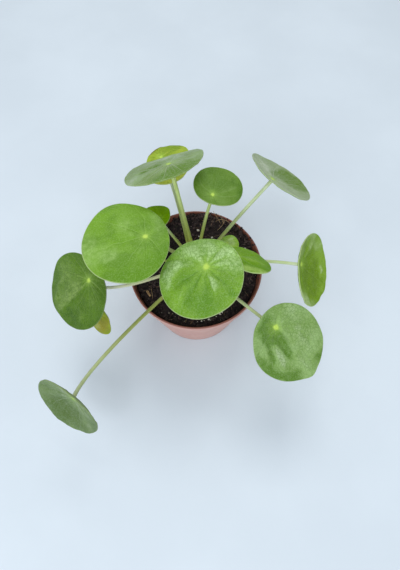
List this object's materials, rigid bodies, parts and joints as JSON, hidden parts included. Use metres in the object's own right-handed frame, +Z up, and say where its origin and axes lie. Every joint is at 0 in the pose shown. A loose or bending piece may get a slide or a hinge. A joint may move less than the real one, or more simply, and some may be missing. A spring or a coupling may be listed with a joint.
{
  "type": "potted pilea plant",
  "caption": "Potted house plant with round coin-like leaves on long petioles from one short stem, in a tapered terracotta-coloured plastic nursery pot with dark soil.",
  "frame": {"origin": "centre of the pot's flat base", "axes": "+Z up along the pot's axis, -Y towards the front of the plant as pictured"},
  "size_m": [0.1787, 0.1782, 0.1377],
  "materials": {
    "pot": "thin moulded plastic, terracotta coloured",
    "soil": "damp crumbly peat",
    "stem": "fleshy, with leaf scars",
    "petiole": "smooth pale green",
    "blade_left_big": "waxy leaf, large leaf at the left",
    "blade_middle": "waxy leaf, glossy leaf at the front",
    "blade_top_left": "waxy leaf, large leaf high at the back left",
    "blade_top_right": "waxy leaf, leaf at the back right",
    "blade_left_low": "waxy leaf, low leaf at the far left side",
    "blade_right_low": "waxy leaf, low leaf at the front right",
    "blade_far_left": "waxy leaf, drooping leaf at the far front left",
    "blade_right_edge": "waxy leaf, steep leaf at the right",
    "blade_top_middle": "waxy leaf, small dark leaf at the back",
    "blade_yellowing": "waxy leaf, old yellowing leaf under the high one",
    "blade_right_inner": "waxy leaf, leaf over the pot at the right",
    "blade_left_back": "waxy leaf, small leaf at the back left",
    "blade_drying": "waxy leaf, small drying leaf at the left",
    "blade_young": "waxy leaf, young leaf near the stem"
  },
  "bodies": {
    "root": {"pot": "pot", "soil": "soil", "stem": "stem", "petiole_left_big": "petiole", "blade_left_big": "blade_left_big", "petiole_middle": "petiole", "blade_middle": "blade_middle", "petiole_top_left": "petiole", "blade_top_left": "blade_top_left", "petiole_top_right": "petiole", "blade_top_right": "blade_top_right", "petiole_left_low": "petiole", "blade_left_low": "blade_left_low", "petiole_right_low": "petiole", "blade_right_low": "blade_right_low", "petiole_far_left": "petiole", "blade_far_left": "blade_far_left", "petiole_right_edge": "petiole", "blade_right_edge": "blade_right_edge", "petiole_top_middle": "petiole", "blade_top_middle": "blade_top_middle", "petiole_yellowing": "petiole", "blade_yellowing": "blade_yellowing", "petiole_right_inner": "petiole", "blade_right_inner": "blade_right_inner", "petiole_left_back": "petiole", "blade_left_back": "blade_left_back", "petiole_drying": "petiole", "blade_drying": "blade_drying", "petiole_young": "petiole", "blade_young": "blade_young"}
  },
  "joints": []
}
